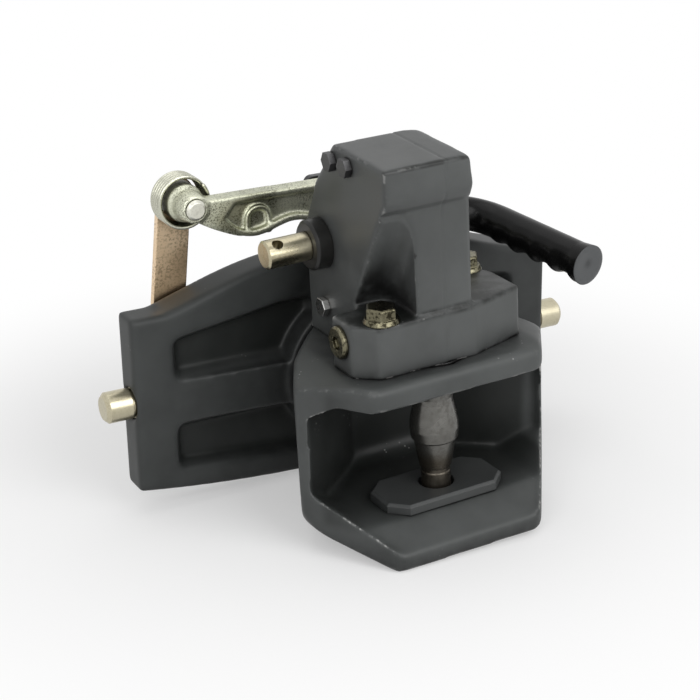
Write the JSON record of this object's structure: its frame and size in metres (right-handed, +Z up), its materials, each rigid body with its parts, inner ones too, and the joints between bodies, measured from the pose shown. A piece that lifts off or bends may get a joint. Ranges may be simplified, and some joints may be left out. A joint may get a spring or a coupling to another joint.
{
  "type": "automatic trailer hitch",
  "caption": "Cast clevis hitch that swivels in a height-adjustable slide plate, with a crowned coupling pin, a release housing on top and a hand lever that draws the side locking pins in.",
  "frame": {"origin": "on the axis of the two side locking pins, in the middle of the slide plate's width and thickness", "axes": "+X to the right across the plate as seen from the trailer, +Y towards the towing vehicle, +Z up"},
  "size_m": [0.424, 0.2534, 0.3102],
  "materials": {
    "plate_paint": "satin charcoal paint over a casting",
    "jaw_paint": "satin charcoal paint, chipped on the lips",
    "housing_paint": "satin charcoal paint over a casting",
    "gold_zinc": "yellow passivated zinc",
    "dark_steel": "dark phosphated steel",
    "bright_steel": "bright turned steel",
    "pin_steel": "worn hardened steel with grease on the nose",
    "wear_steel": "satin hardened steel",
    "spring_steel": "zinc plated spring wire",
    "lever_zinc": "olive grey zinc over a grainy casting",
    "strap_zinc": "iridescent zinc plate",
    "pivot_steel": "riveted steel",
    "bush_black": "smooth black",
    "grip_plastic": "glossy black plastic"
  },
  "bodies": {
    "slide": {"slide_plate": "plate_paint", "friction_ring": "dark_steel", "lever_strap": "strap_zinc", "strap_bolts": "dark_steel", "pivot_pin": "pivot_steel", "lever_spring": "spring_steel", "guide_screws": "dark_steel", "left_pin_spring": "spring_steel", "right_pin_spring": "spring_steel"},
    "jaw": {"jaw": "jaw_paint", "wear_plate": "wear_steel", "guide_bush": "bright_steel", "lower_bush": "wear_steel", "housing": "housing_paint", "housing_cover": "housing_paint", "base_bolts": "gold_zinc", "clamp_bolts": "dark_steel", "lower_clamp_bolt": "bright_steel", "side_plug": "gold_zinc", "shaft_bush": "bush_black", "release_spring": "spring_steel", "swivel_nut": "dark_steel", "nut_lock_pin": "bright_steel"},
    "pin": {"coupling_pin": "pin_steel"},
    "shaft": {"release_shaft": "gold_zinc", "lift_arm": "bright_steel", "arm_pin": "bright_steel"},
    "lever": {"lever": "lever_zinc", "grip": "grip_plastic", "lift_pin": "bright_steel"},
    "draw_plate": {"draw_plate": "dark_steel"},
    "left_lock": {"left_locking_pin": "gold_zinc", "left_cross_pin": "bright_steel"},
    "right_lock": {"right_locking_pin": "gold_zinc", "right_cross_pin": "bright_steel"}
  },
  "joints": [
    {"name": "jaw_swivel", "type": "hinge", "parent": "slide", "child": "jaw", "pos_m": [0, 0, 0], "axis": [0, 1, 0], "range_deg": [-87.6, 27.4]},
    {"name": "pin_lift", "type": "slide", "parent": "jaw", "child": "pin", "axis": [-0.0419, 0, 0.9991], "range_m": [0, 0.084], "stiffness_N_per_m": 250, "springref_m": -0.06},
    {"name": "shaft_turn", "type": "hinge", "parent": "jaw", "child": "shaft", "pos_m": [-0.00557, -0.075, 0.13288], "axis": [-0.9991, 0, -0.0419], "range_deg": [0, 64.3]},
    {"name": "lever_lift", "type": "hinge", "parent": "slide", "child": "lever", "pos_m": [-0.136, 0, 0.156], "axis": [0, -1, 0], "range_deg": [0, 10], "stiffness_Nm_per_rad": 12, "springref_deg": -20.05},
    {"name": "draw_plate_lift", "type": "slide", "parent": "slide", "child": "draw_plate", "axis": [0, 0, 1], "range_m": [0, 0.024]},
    {"name": "left_lock_slide", "type": "slide", "parent": "slide", "child": "left_lock", "axis": [1, 0, 0], "range_m": [0, 0.024], "deforming": ["left_pin_spring"]},
    {"name": "right_lock_slide", "type": "slide", "parent": "slide", "child": "right_lock", "axis": [-1, 0, 0], "range_m": [0, 0.024], "deforming": ["right_pin_spring"]}
  ],
  "couplings": [
    {"joint": "shaft_turn", "follows": "pin_lift", "rad_per_m": 13.343},
    {"joint": "draw_plate_lift", "follows": "lever_lift", "m_per_rad": 0.1366},
    {"joint": "left_lock_slide", "follows": "lever_lift", "m_per_rad": 0.1366},
    {"joint": "right_lock_slide", "follows": "lever_lift", "m_per_rad": 0.1366}
  ]
}
